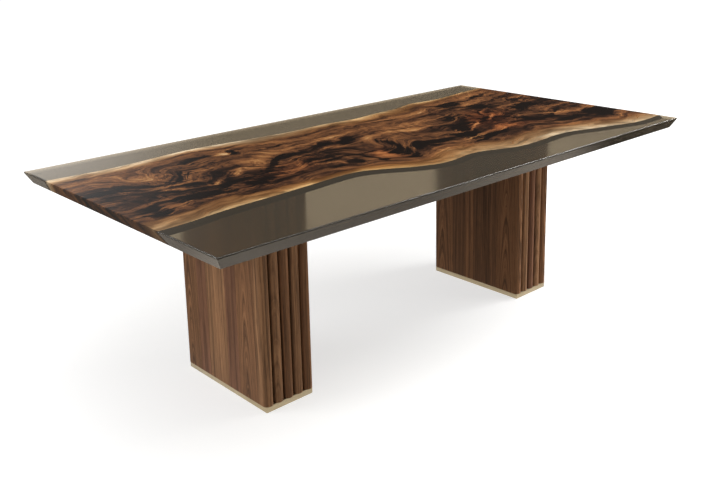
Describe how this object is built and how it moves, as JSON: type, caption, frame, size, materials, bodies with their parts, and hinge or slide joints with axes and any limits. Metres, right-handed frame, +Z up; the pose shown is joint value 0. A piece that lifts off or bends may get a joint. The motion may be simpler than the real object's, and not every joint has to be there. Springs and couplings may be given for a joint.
{
  "type": "resin dining table",
  "caption": "Rectangular dining table with a live-edge walnut slab cast in clear smoke resin, bevelled edges, and reeded walnut pedestals on brass plinths with levelling feet.",
  "frame": {"origin": "on the floor, under the middle of the top", "axes": "+X along the table's length, +Y from the front long side to the rear one, +Z up"},
  "size_m": [2.3, 1.2, 0.75],
  "materials": {
    "slab_walnut": "polished lacquer",
    "smoke_resin": "clear smoke-brown casting, polished",
    "leg_walnut": "satin oil",
    "core_plywood": "raw plywood",
    "plinth_brass": "brushed satin",
    "black_steel": "black powder coat",
    "zinc_steel": "zinc plated",
    "insert_brass": "turned",
    "foot_nylon": "moulded nylon"
  },
  "bodies": {
    "table": {"channel_bolts": "zinc_steel", "channel_inserts": "insert_brass", "foot_inserts": "insert_brass", "front_resin": "smoke_resin", "left_bottom_board": "core_plywood", "left_end_channel": "black_steel", "left_front_end_board": "core_plywood", "left_front_reed_1": "leg_walnut", "left_front_reed_2": "leg_walnut", "left_front_reed_3": "leg_walnut", "left_inner_panel": "leg_walnut", "left_mounting_plate": "black_steel", "left_outer_panel": "leg_walnut", "left_plinth_frame": "plinth_brass", "left_rear_end_board": "core_plywood", "left_rear_reed_1": "leg_walnut", "left_rear_reed_2": "leg_walnut", "left_rear_reed_3": "leg_walnut", "left_top_board": "core_plywood", "middle_channel": "black_steel", "plate_bolts": "zinc_steel", "plate_inserts": "insert_brass", "plate_screws": "zinc_steel", "plinth_screws": "zinc_steel", "rear_resin": "smoke_resin", "right_bottom_board": "core_plywood", "right_end_channel": "black_steel", "right_front_end_board": "core_plywood", "right_front_reed_1": "leg_walnut", "right_front_reed_2": "leg_walnut", "right_front_reed_3": "leg_walnut", "right_inner_panel": "leg_walnut", "right_mounting_plate": "black_steel", "right_outer_panel": "leg_walnut", "right_plinth_frame": "plinth_brass", "right_rear_end_board": "core_plywood", "right_rear_reed_1": "leg_walnut", "right_rear_reed_2": "leg_walnut", "right_rear_reed_3": "leg_walnut", "right_top_board": "core_plywood", "walnut_slab": "slab_walnut"},
    "left_front_inner_foot": {"left_front_inner_foot": "foot_nylon"},
    "left_front_outer_foot": {"left_front_outer_foot": "foot_nylon"},
    "left_rear_inner_foot": {"left_rear_inner_foot": "foot_nylon"},
    "left_rear_outer_foot": {"left_rear_outer_foot": "foot_nylon"},
    "right_front_inner_foot": {"right_front_inner_foot": "foot_nylon"},
    "right_front_outer_foot": {"right_front_outer_foot": "foot_nylon"},
    "right_rear_inner_foot": {"right_rear_inner_foot": "foot_nylon"},
    "right_rear_outer_foot": {"right_rear_outer_foot": "foot_nylon"}
  },
  "joints": [
    {"name": "left_front_inner_foot_travel", "type": "slide", "parent": "table", "child": "left_front_inner_foot", "axis": [0, 0, -1], "range_m": [0, 0.012]},
    {"name": "left_front_outer_foot_travel", "type": "slide", "parent": "table", "child": "left_front_outer_foot", "axis": [0, 0, -1], "range_m": [0, 0.012]},
    {"name": "left_rear_inner_foot_travel", "type": "slide", "parent": "table", "child": "left_rear_inner_foot", "axis": [0, 0, -1], "range_m": [0, 0.012]},
    {"name": "left_rear_outer_foot_travel", "type": "slide", "parent": "table", "child": "left_rear_outer_foot", "axis": [0, 0, -1], "range_m": [0, 0.012]},
    {"name": "right_front_inner_foot_travel", "type": "slide", "parent": "table", "child": "right_front_inner_foot", "axis": [0, 0, -1], "range_m": [0, 0.012]},
    {"name": "right_front_outer_foot_travel", "type": "slide", "parent": "table", "child": "right_front_outer_foot", "axis": [0, 0, -1], "range_m": [0, 0.012]},
    {"name": "right_rear_inner_foot_travel", "type": "slide", "parent": "table", "child": "right_rear_inner_foot", "axis": [0, 0, -1], "range_m": [0, 0.012]},
    {"name": "right_rear_outer_foot_travel", "type": "slide", "parent": "table", "child": "right_rear_outer_foot", "axis": [0, 0, -1], "range_m": [0, 0.012]}
  ]
}
